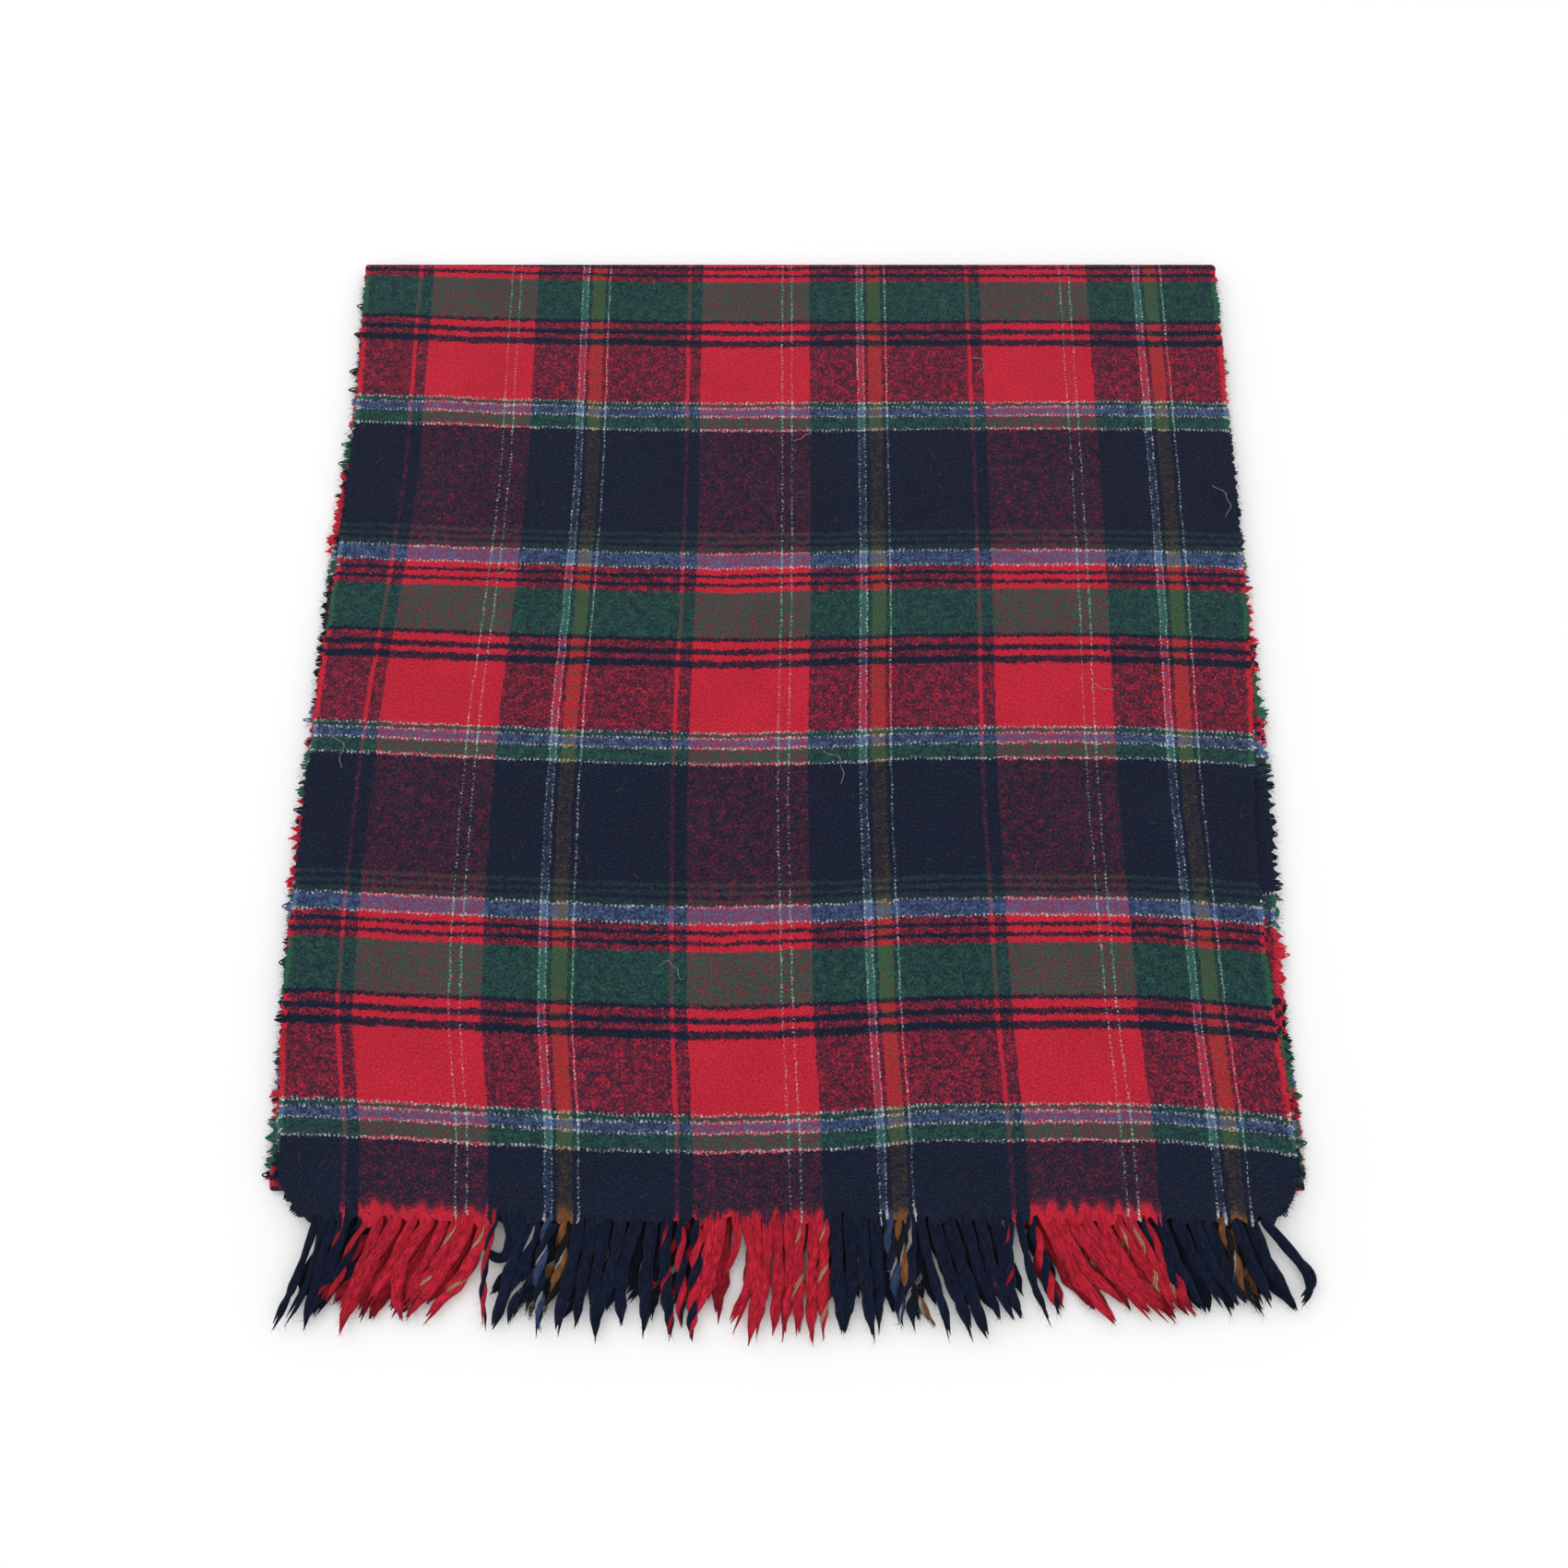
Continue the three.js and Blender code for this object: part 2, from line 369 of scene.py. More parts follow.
def end_cap(start, columns, flip):
    """Faces that close a cloth strip at the row whose first point is start."""
    front = [start + k for k in range(columns + 1)]
    right_rim = [front[-1] + 1 + k for k in range(RIM)]
    back = [right_rim[-1] + 1 + columns - k for k in range(columns + 1)]
    left_rim = [back[0] + 1 + k for k in range(RIM)]
    faces = [[front[k], back[k], back[k + 1], front[k + 1]] for k in range(columns)]
    faces.append([front[-1], *right_rim, back[-1]][::-1])
    faces.append([back[0], *left_rim, front[0]][::-1])
    return [face[::-1] for face in faces] if flip else faces


def flat_stations(layer, y_from, y_to, step):
    """Stations along a flat layer, closer together at a ragged end."""
    rows = max(2, int(abs(y_to - y_from) / step) + 1)
    y = np.linspace(y_from, y_to, rows)
    if ROOT_Y in (y_from, y_to):
        extra = ROOT_Y + np.arange(RAGGED_STEP, RAGGED_DEPTH + 1, RAGGED_STEP)
        y = np.concatenate([y[y > ROOT_Y + RAGGED_DEPTH + 1], extra, [ROOT_Y]])
        y = np.sort(y) if y_from < y_to else np.sort(y)[::-1]
    left, right = selvedge(layer, y)
    # The face is the side that is up in layers 1 and 3, and down in 2 and 4.
    nz = 1.0 if layer in (1, 3) else -1.0
    place = woven(run_of(layer, y))
    return [(a, MIDDLE_Z[layer], 0.0, nz, l, r, p) for a, l, r, p in zip(y, left, right, place)]


def turn_stations(centre_y, centre_z, radius, going, facing, up, start, edges_a, edges_b, rows):
    """Stations round a fold, which bulges to +Y where going is 1 and to -Y where it is -1.

    facing is 1 where the cloth's face looks outwards and -1 where it looks inwards. up is 1 where the
    fold starts at its top. start is the distance along the path there. The edges are (left x, right x).
    """
    stations = []
    for k in range(rows + 1):
        share = k / rows
        angle = math.pi * share
        z_part = math.cos(angle) * up
        y_part = math.sin(angle) * going
        left, right = (a * (1 - share) + b * share for a, b in zip(edges_a, edges_b))
        stations.append((
            centre_y + radius * y_part, centre_z + radius * z_part,
            facing * y_part, facing * z_part, left, right, woven(start + angle * radius),
        ))
    return stations


# ---- shaders
RED = (0.60, 0.0185, 0.043)
NAVY = (0.0074, 0.0120, 0.0320)
GREEN = (0.0245, 0.116, 0.071)
DEEP_GREEN = (0.017, 0.05, 0.047)
BLUE = (0.092, 0.155, 0.325)
CREAM = (0.62, 0.50, 0.40)
WHITE = (0.56, 0.57, 0.53)
OCHRE = (0.19, 0.073, 0.028)

WARP_YARN = 1.35  # one warp yarn's width
WARP_START = -263.25  # where the first whole red warp stripe begins
WARP_SETT = [  # (colour, yarns, whether the yarns are pale and stand proud)
    (RED, 43, 0), (CREAM, 1, 1), (RED, 4, 0), (CREAM, 1, 1), (RED, 9, 0),
    (NAVY, 25, 0), (WHITE, 1, 1), (BLUE, 2, 0), (WHITE, 1, 1), (NAVY, 2, 0),
    (OCHRE, 7, 0), (NAVY, 2, 0), (WHITE, 1, 1), (NAVY, 43, 0), (RED, 2, 0), (NAVY, 6, 0),
]
WEFT_YARN = 248.0 / 184
WEFT_START = 84 * WEFT_YARN  # how far from the upper fringe the list below begins
WEFT_SETT = [
    (NAVY, 4, 0), (RED, 3, 0), (NAVY, 3, 0), (RED, 4, 0), (NAVY, 2, 0), (GREEN, 25, 0),
    (RED, 3, 0), (NAVY, 2, 0), (RED, 3, 0), (NAVY, 2, 0), (RED, 3, 0), (WHITE, 1, 1),
    (BLUE, 7, 0), (WHITE, 1, 1), (DEEP_GREEN, 3, 0), (NAVY, 2, 0), (DEEP_GREEN, 2, 0), (NAVY, 2, 0),
    (DEEP_GREEN, 2, 0), (NAVY, 59, 0), (WHITE, 1, 1), (GREEN, 7, 0), (WHITE, 1, 1), (BLUE, 4, 0),
    (WHITE, 1, 1), (GREEN, 2, 0), (WHITE, 1, 1), (RED, 34, 0),
]
WEFT_SHARE = 0.66  # brushing leaves the weft more seen than the warp
DARKEST = 6.0  # the ramps hold 1 + ln(colour) / DARKEST, so that mixing them multiplies dyes
YARN_SAMPLE = 0.86  # each yarn is read this far across it, because the renderer stores a ramp in steps


class Graph:
    """A short way to write a material's nodes."""

    def __init__(self, name):
        self.material = bpy.data.materials.new(name)
        self.material.use_nodes = True
        self.tree = self.material.node_tree
        self.shader = self.tree.nodes["Principled BSDF"]

    def put(self, socket, value):
        if isinstance(value, bpy.types.NodeSocket):
            self.tree.links.new(value, socket)
        else:
            socket.default_value = value

    def node(self, kind, *values, **settings):
        """A new node with its settings, and with its inputs filled in order."""
        n = self.tree.nodes.new("ShaderNode" + kind)
        for key, value in settings.items():
            setattr(n, key, value)
        for socket, value in zip(n.inputs, values):
            self.put(socket, value)
        return n

    def math(self, operation, a, b=0.0, c=0.0, clamp=False):
        return self.node("Math", a, b, c, operation=operation, use_clamp=clamp).outputs[0]

    def add(self, a, b):
        return self.math("ADD", a, b)

    def minus(self, a, b, clamp=False):
        return self.math("SUBTRACT", a, b, clamp=clamp)

    def times(self, a, b):
        return self.math("MULTIPLY", a, b)

    def vector(self, operation, a, b=(0, 0, 0)):
        return self.node("VectorMath", a, b, operation=operation).outputs[0]

    def scaled(self, vector, factor):
        n = self.node("VectorMath", vector, operation="SCALE")
        n.inputs["Scale"].default_value = factor
        return n.outputs[0]

    def mapping(self, vector, turn=0.0, scale=(1, 1, 1)):
        return self.node("Mapping", vector, (0, 0, 0), (0, 0, turn), scale).outputs[0]

    def noise(self, vector, scale, detail=1.0, rough=0.5, colour=False):
        n = self.node("TexNoise", vector)
        n.inputs["Scale"].default_value = scale
        n.inputs["Detail"].default_value = detail
        n.inputs["Roughness"].default_value = rough
        return n.outputs["Color" if colour else "Fac"]

    def mix(self, factor, a, b, blend="MIX"):
        n = self.node("Mix", factor, data_type="RGBA", blend_type=blend)
        for socket, value in zip(n.inputs[6:8], (a, b)):  # its two colour inputs
            self.put(socket, value if isinstance(value, bpy.types.NodeSocket) else (*value, 1))
        return n.outputs[2]

    def range(self, value, a, b, c=0.0, d=1.0):
        """Carries a..b smoothly over to c..d, and stops at c and d."""
        return self.node("MapRange", value, a, b, c, d, interpolation_type="SMOOTHSTEP").outputs[0]

    def split(self, vector):
        return self.node("SeparateXYZ", vector).outputs

    def join(self, x, y, z):
        return self.node("CombineXYZ", x, y, z).outputs[0]

    def sett(self, place, stripes, yarn, start):
        """The stripes as a ramp over one repeat, each colour as its logarithm.

        The second output, alpha, marks the pale yarns that stand proud.
        """
        total = sum(count for _, count, _ in stripes)
        index = self.math("FLOOR", self.math("DIVIDE", self.minus(place, start), yarn))
        share = self.math("FRACT", self.math("DIVIDE", self.add(index, YARN_SAMPLE), total))
        n = self.node("ValToRGB", share)
        ramp = n.color_ramp
        ramp.interpolation = "CONSTANT"
        while len(ramp.elements) > 1:
            ramp.elements.remove(ramp.elements[-1])
        at = 0
        for colour, count, proud in stripes:
            element = ramp.elements[0] if at == 0 else ramp.elements.new(at / total)
            element.position = at / total
            element.color = (*[1 + math.log(c) / DARKEST for c in colour], float(proud))
            at += count
        return n.outputs

    def antilog(self, colour):
        """Turns a ramp's logarithms back into a colour."""
        channels = self.node("SeparateColor", colour).outputs
        return self.join(*[self.math("POWER", math.exp(DARKEST), self.minus(c, 1.0)) for c in channels])

    def bump(self, height, distance, strength):
        n = self.node("Bump")
        n.inputs["Strength"].default_value = strength
        n.inputs["Distance"].default_value = distance
        self.put(n.inputs["Height"], height)
        return n.outputs[0]

    def place(self):
        """The place across and along the cloth, in millimetres."""
        return self.scaled(self.node("UVMap", uv_map="Cloth").outputs[0], 1 / MM)

    def attribute(self, name):
        return self.node("Attribute", attribute_name=name).outputs

    def wool(self, colour, normal, gloss, sheen_roughness):
        """Sets the shader to matte wool."""
        sockets = self.shader.inputs
        self.put(sockets["Base Color"], colour)
        self.put(sockets["Normal"], normal)
        sockets["Roughness"].default_value = 0.95
        sockets["Specular IOR Level"].default_value = gloss
        sockets["Sheen Weight"].default_value = 0.04
        sockets["Sheen Roughness"].default_value = sheen_roughness
        return self.material


def plaid_cloth():
    """Plain weave in brushed wool. Each crossing of warp and weft mixes the two dyed yarns."""
    g = Graph("plaid_wool")
    place = g.place()
    # Felting pushes every yarn a little off its line.
    push = g.vector("SUBTRACT", g.noise(place, 0.7, 2.0, 0.6, colour=True), (0.5, 0.5, 0.5))
    wander = g.vector("SUBTRACT", g.noise(place, 0.09, 1.0, 0.5, colour=True), (0.5, 0.5, 0.5))
    moved = g.vector("ADD", place, g.vector("MULTIPLY", push, (3.2, 6.4, 0)))
    moved = g.vector("ADD", moved, g.scaled(wander, 1.8))
    u, v, _ = g.split(moved)

    # The weave: a soft checker of warp-up and weft-up crossings.
    wave_u = g.math("SINE", g.times(g.minus(u, WARP_START), math.pi / WARP_YARN))
    wave_v = g.math("SINE", g.times(g.minus(v, WEFT_START), math.pi / WEFT_YARN))
    checker = g.times(wave_u, wave_v)
    felt = g.minus(g.noise(place, 0.52, 3.0, 0.78), 0.5)
    clump = g.minus(g.noise(place, 0.17, 2.0, 0.6), 0.5)
    warp = g.sett(u, WARP_SETT, WARP_YARN, WARP_START)
    weft = g.sett(v, WEFT_SETT, WEFT_YARN, WEFT_START)

    # How much of the weft's dye shows: more where the weft is on top.
    share = g.minus(WEFT_SHARE, g.times(checker, 0.16))
    share = g.minus(share, g.times(felt, 2.2))
    share = g.minus(share, g.times(clump, 1.0))
    # Pale yarns show as rows of dots, wherever they come up through the nap.
    come_up = g.add(checker, g.times(felt, 2.2))
    dots = g.range(come_up, 0.1, 0.95)
    share = g.minus(share, g.times(warp[1], g.math("MULTIPLY_ADD", dots, 0.60, -0.16)))
    dots = g.range(come_up, 0.25, -0.75)
    share = g.add(share, g.times(weft[1], g.math("MULTIPLY_ADD", dots, 0.42, -0.24)))
    # The selvedge shows the weft alone, and the fringed ends the warp alone.
    inward = g.add(g.attribute("Edge")["Fac"], g.times(felt, 6.0))
    share = g.add(share, g.range(inward, 4.2, 1.4))
    near_end = g.math("MINIMUM", v, g.minus(WOVEN[-1], v))
    tufts = g.minus(g.noise(g.mapping(place, 0.0, (1.0, 0.12, 1.0)), 0.14, 1.0), 0.5)
    for unevenness, reach in ((felt, 22.0), (clump, 16.0), (tufts, 22.0)):
        near_end = g.add(near_end, g.times(unevenness, reach))
    share = g.minus(share, g.range(near_end, 12.5, -1.5), clamp=True)
    colour = g.antilog(g.mix(share, warp[0], weft[0]))

    # Loose surface hair: faint pale strokes in several directions, and slow changes of shade.
    strokes = None
    for turn, offset in ((0.35, 0.0), (-0.9, 40.0), (1.45, 90.0)):
        shifted = g.vector("ADD", place, (offset, offset, offset))
        line = g.noise(g.mapping(shifted, turn, (0.22, 1.9, 1.0)), 1.0, 1.0, 0.5)
        line = g.range(line, 0.60, 0.78)
        strokes = line if strokes is None else g.math("MAXIMUM", strokes, line)
    pale = g.mix(1.0, colour, (0.026, 0.026, 0.030), "ADD")
    pale = g.mix(1.0, pale, (1.3, 1.3, 1.3), "MULTIPLY")
    colour = g.mix(g.times(strokes, 0.5), colour, pale)
    shade = g.noise(place, 0.022, 3.0, 0.55)
    grain = g.noise(place, 0.75, 3.0, 0.75)
    level = g.range(shade, 0.25, 0.75, 0.93, 1.07)
    level = g.times(level, g.range(grain, 0.28, 0.72, 0.6, 1.38))
    colour = g.mix(1.0, colour, g.join(level, level, level), "MULTIPLY")
    nap = g.range(g.noise(g.vector("ADD", place, (60.0, 60.0, 60.0)), 0.8, 3.0, 0.75), 0.48, 0.72)
    colour = g.mix(nap, colour, g.mix(1.0, colour, (0.024, 0.027, 0.029), "ADD"))

    # Relief: round yarns, felt and hair.
    yarn = g.math("POWER", g.math("ABSOLUTE", checker), 0.6)
    height = g.add(g.times(yarn, 0.5), g.times(felt, 2.2))
    height = g.add(height, g.times(strokes, 0.5))
    return g.wool(colour, g.bump(height, 0.7 * MM, 0.9), gloss=0.08, sheen_roughness=0.4)


def spun_wool(name):
    """Twisted, felted fringe yarn. Each yarn has its own tint, and its fibres break it up."""
    g = Graph(name)
    place = g.place()
    tint = g.attribute("Tint")["Color"]
    # Fibres run along the yarn, slanted by its twist.
    slanted = g.mapping(place, 0.35, (1.0, 0.16, 1.0))
    fibres = g.noise(slanted, 1.1, 3.0, 0.75)
    clump = g.noise(g.mapping(place, 0.2, (1.0, 0.4, 1.0)), 0.35, 2.0, 0.6)
    level = g.range(fibres, 0.28, 0.72, 0.42, 1.42)
    level = g.times(level, g.range(clump, 0.25, 0.75, 0.72, 1.16))
    colour = g.mix(1.0, tint, g.join(level, level, level), "MULTIPLY")
    hair = g.range(g.noise(g.mapping(place, -0.5, (0.9, 0.2, 1.0)), 2.0, 1.0), 0.62, 0.8)
    pale = g.mix(1.0, colour, (0.03, 0.03, 0.034), "ADD")
    colour = g.mix(g.times(hair, 0.6), colour, pale)
    height = g.add(fibres, g.times(clump, 0.6))
    return g.wool(colour, g.bump(height, 1.2 * MM, 0.9), gloss=0.06, sheen_roughness=0.45)


PLAID = plaid_cloth()
FRINGE_WOOL = {
    "red": spun_wool("fringe_red_wool"),
    "navy": spun_wool("fringe_navy_wool"),
    "accent": spun_wool("fringe_mixed_wool"),
}
HAIR_WOOL = spun_wool("loose_hair_wool")

# ---- the four layers and three folds
FINE_STEP = 4.0  # row spacing in the top layer
COARSE_STEP = 6.0  # row and column spacing in the others
FOLD_STEP = 3.0
FINE_COLUMNS = int(CLOTH_WIDTH / 2.6)
COARSE_COLUMNS = int(CLOTH_WIDTH / COARSE_STEP)


def layer_piece(layer, y_from, y_to, step, columns, body):
    """One flat layer of cloth, from one seam to the other along the path."""
    stations = flat_stations(layer, y_from, y_to, step)
    piece = cloth_strip(f"cloth_layer_{layer}", stations, columns, PLAID)
    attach(piece, body)
    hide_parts(f"panel_{layer}")
    return piece


SEAM_OUTER = OUTER_Y - SEAM
SEAM_INNER = INNER_Y - SEAM
SEAM_BOTTOM = BOTTOM_Y + SEAM
layers = {
    1: layer_piece(1, ROOT_Y, SEAM_OUTER, FINE_STEP, FINE_COLUMNS, "upper_half"),
    2: layer_piece(2, SEAM_INNER, ROOT_Y, COARSE_STEP, COARSE_COLUMNS, "upper_half"),
    3: layer_piece(3, SEAM_BOTTOM, SEAM_INNER, COARSE_STEP, COARSE_COLUMNS, "lower_half"),
    4: layer_piece(4, SEAM_OUTER, SEAM_BOTTOM, COARSE_STEP, COARSE_COLUMNS, "lower_half"),
}


def fold_piece(name, before, after, centre_y, centre_z, radius, going, facing, columns, rows):
    """A fold with a short flat strip of cloth on each side. before and after are (layer, seam y)."""
    (layer_a, seam_a), (layer_b, seam_b) = before, after
    flat_a = flat_stations(layer_a, seam_a, centre_y, FOLD_STEP)
    flat_b = flat_stations(layer_b, centre_y, seam_b, FOLD_STEP)
    up = 1 if MIDDLE_Z[layer_a] > centre_z else -1
    bend = turn_stations(
        centre_y, centre_z, radius, going, facing, up, run_of(layer_a, centre_y),
        flat_a[-1][4:6], flat_b[0][4:6], rows,
    )
    return cloth_strip(name, flat_a + bend[1:-1] + flat_b, columns, PLAID)


outer_fold = fold_piece(
    "cloth_outer_fold", (1, SEAM_OUTER), (4, SEAM_OUTER), OUTER_Y,
    (MIDDLE_Z[1] + MIDDLE_Z[4]) / 2, OUTER_R, 1, 1, FINE_COLUMNS, rows=18,
)
bottom_fold = fold_piece(
    "cloth_bottom_fold", (4, SEAM_BOTTOM), (3, SEAM_BOTTOM), BOTTOM_Y,
    (MIDDLE_Z[3] + MIDDLE_Z[4]) / 2, SMALL_R, -1, 1, COARSE_COLUMNS, rows=10,
)
inner_fold = fold_piece(
    "cloth_inner_fold", (3, SEAM_INNER), (2, SEAM_INNER), INNER_Y,
    (MIDDLE_Z[2] + MIDDLE_Z[3]) / 2, SMALL_R, 1, -1, COARSE_COLUMNS, rows=10,
)
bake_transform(outer_fold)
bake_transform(inner_fold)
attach(bottom_fold, "lower_half")
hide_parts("outer_fold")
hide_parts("inner_fold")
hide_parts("bottom_fold")

# ---- selvedge loops
BODY_OF_LAYER = {1: "upper_half", 2: "upper_half", 3: "lower_half", 4: "lower_half"}
# How far the weft yarns stand out beyond the selvedge: left and right, in each layer.
LOOP_REACH = {1: (1.0, 1.2), 2: (3.6, 4.4), 3: (4.4, 3.2), 4: (3.4, 3.2)}
EDGE_U = 316.0  # the place across the cloth whose stripe the selvedge's yarns take
WEFT_STEP = 1.35  # spacing of the weft yarns along a selvedge
YARN_POINTS = 6
LOOP_POINTS = 11
HOLD = 2.4  # how far inside the selvedge each weft yarn begins
CLEAR_START, CLEAR_FOLD = 3.0, 9.0  # no loops this near to the ends of a selvedge


def edge_frame(layer, side, y):
    """A selvedge point and the outward direction there."""
    k = 0 if side < 0 else 1
    slope = float(selvedge(layer, y + 3)[k] - selvedge(layer, y - 3)[k]) / 6
    out = np.array([side, -side * slope, 0.0])
    return np.array([float(selvedge(layer, y)[k]), y, MIDDLE_Z[layer]]), out / np.linalg.norm(out)


def selvedge_loops(layer):
    """Weft yarns turning back at the edge, packed in scallops, some drawn out to a point."""
    rng = np.random.default_rng(300 + layer)
    t = np.linspace(0, 1, YARN_POINTS)
    taper = np.interp(t, [0, 0.7, 0.92, 1], [1.0, 1.0, 0.8, 0.35])
    around = math.pi * np.linspace(0, 1, LOOP_POINTS)
    bow = np.sin(around) ** 0.8
    yarns, rings = [], []  # each as (path, radii, y)
    low, high = EDGES[layer][0][0] + CLEAR_START, EDGES[layer][0][-1] - CLEAR_FOLD
    for side, reach in zip((-1, 1), LOOP_REACH[layer]):
        y = low
        while y < high:
            pitch = rng.uniform(5.0, 10.0)
            out = reach * rng.uniform(0.45, 1.3)
            pointed = rng.random() < 0.4
            skew = rng.normal(0, 0.8)
            count = max(3, round(pitch / WEFT_STEP))
            for k in range(count):
                across = (k + 0.5) / count * 2 - 1
                profile = (1 - abs(across)) if pointed else math.sqrt(1 - 0.75 * across ** 2)
                spot = y + pitch * (across + 1) / 2
                root, outward = edge_frame(layer, side, spot)
                length = HOLD + out * profile * rng.uniform(0.7, 1.12) + rng.uniform(0, 0.4)
                gather = -across * pitch * (0.34 if pointed else 0.14) + skew + rng.normal(0, 0.35)
                path = root + outward * (length * t - HOLD)[:, None]
                path[:, 1] += gather * t ** 2
                path[:, 2] += rng.uniform(-0.5, 0.8) + rng.uniform(-0.5, 0.5) * t ** 2
                yarns.append((path, rng.uniform(0.62, 0.85) * taper, spot))
            if rng.random() < 0.14 and layer > 1:
                middle = y + pitch / 2
                root, outward = edge_frame(layer, side, middle)
                path = root + outward * ((HOLD + out * 1.25) * bow - HOLD)[:, None]
                path[:, 1] += pitch * 0.3 * np.cos(around) * (1 - 0.3 * bow) + skew * bow
                path[:, 2] += 0.5
                rings.append((path, np.full(LOOP_POINTS, 0.5), middle))
            y += pitch
    parts = [yarn_set(layer, yarns, rng), selvedge_hair(layer, low, high, rng)]
    if rings:
        parts.append(yarn_set(layer, rings, rng))
    points, faces, uv, _ = merge(parts)
    points[:, 2] = np.maximum(points[:, 2], 0.1)
    piece = build(f"selvedge_loops_{layer}", points, faces, uv, PLAID)
    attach(piece, BODY_OF_LAYER[layer])
    return piece


def yarn_set(layer, yarns, rng):
    """Weft yarns as tubes, each in the colour of the stripe that it belongs to."""
    paths, radii, ys = (np.array(column) for column in zip(*yarns))
    points, faces, run, angle = tubes(paths, radii, 5, 0.9)
    place = woven(run_of(layer, ys)) + rng.uniform(-0.5, 0.5, len(ys))
    uv = np.empty((*radii.shape, len(angle), 2))
    uv[..., 0] = EDGE_U * np.sign(paths[:, :1, 0])[:, :, None] + np.cos(angle) * 0.5
    uv[..., 1] = place[:, None, None] + run[:, :, None] * 0.05
    return points, faces, uv.reshape(-1, 2), None


def merge(parts):
    """Joins several (points, faces, uv, tint) sets into one."""
    points, faces, uvs, tints = zip(*parts)
    starts = np.cumsum([0] + [len(p) for p in points])
    joined = [[i + start for i in face] for some, start in zip(faces, starts.tolist()) for face in some]
    tint = None if tints[0] is None else np.concatenate(tints)
    return np.concatenate(points), joined, np.concatenate(uvs), tint


HAIR_POINTS = 5
HAIR_SIDES = 3
HAIR_CORNERS = HAIR_POINTS * HAIR_SIDES


def hair_tubes(roots, heading, lengths, curl, thickness, rng):
    """Fine hairs from roots, along headings. lengths and thickness are (least, most); curl is a spread."""
    count = len(roots)
    length = rng.uniform(*lengths, count)
    bend = rng.normal(0, curl, count)
    thick = rng.uniform(*thickness, count)
    t = np.linspace(0, 1, HAIR_POINTS)[None, :, None]
    side = np.cross(heading, np.array([0, 0, 1.0])) + 1e-6
    path = roots[:, None, :] + heading[:, None, :] * t * length[:, None, None]
    path = path + side[:, None, :] * (t ** 2) * bend[:, None, None]
    return tubes(path, thick[:, None] * (1.0 - 0.75 * t[:, :, 0]), HAIR_SIDES)[:2]


def selvedge_hair(layer, low, high, rng):
    """Stray hairs that stand out from both selvedges of a layer."""
    count = int((high - low) / 0.7)
    parts = []
    for k, side in enumerate((-1, 1)):
        y = rng.uniform(low, high, count)
        x = selvedge(layer, y)[k] + side * rng.uniform(-0.5, LOOP_REACH[layer][k] * 0.8, count)
        roots = np.stack([x, y, MIDDLE_Z[layer] + rng.uniform(-0.6, 0.9, count)], axis=1)
        turn = rng.normal(0, 0.8, count)
        heading = np.stack([side * np.cos(turn), np.sin(turn), rng.normal(0, 0.2, count)], axis=1)
        points, faces = hair_tubes(roots, heading, (1.2, 4.2), 1.1, (0.07, 0.12), rng)
        place = woven(run_of(layer, y)) + rng.uniform(-1, 1, count)
        uv = np.stack([np.full(count, side * EDGE_U), place], axis=1)
        parts.append((points, faces, np.repeat(uv, HAIR_CORNERS, axis=0), None))
    return merge(parts)


loops = {layer: selvedge_loops(layer) for layer in LOOP_REACH}

# ---- fringes
PLY_POINTS = 34
PLY_SIDES = 10
BURIED = 15.0  # how far back the yarns run in the cloth, their crowns just proud of its face
YARNS = {  # the fringe's colours, duller than the cloth's; the red is darkened as well, to paint in the shade on the strands' rounded sides
    "red": (0.49, 0.0165, 0.037), "navy": NAVY, "blue": (0.034, 0.058, 0.13), "white": (0.38, 0.39, 0.37),
    "cream": (0.52, 0.34, 0.21), "ochre": (0.20, 0.080, 0.026), "black": (0.011, 0.011, 0.013),
}
# Each kind of strand: which piece it joins, its two plies, and the thin yarn wound round them.
KINDS = {
    "n": ("navy", ("navy", "navy"), None),
    "r": ("red", ("red", "red"), None),
    "t": ("navy", ("navy", "red"), None),
    "c": ("red", ("red", "red"), "cream"),
    "m": ("navy", ("navy", "navy"), "red"),
    "w": ("navy", ("navy", "navy"), "white"),
    "b": ("accent", ("blue", "navy"), "white"),
    "o": ("accent", ("ochre", "black"), "white"),
}
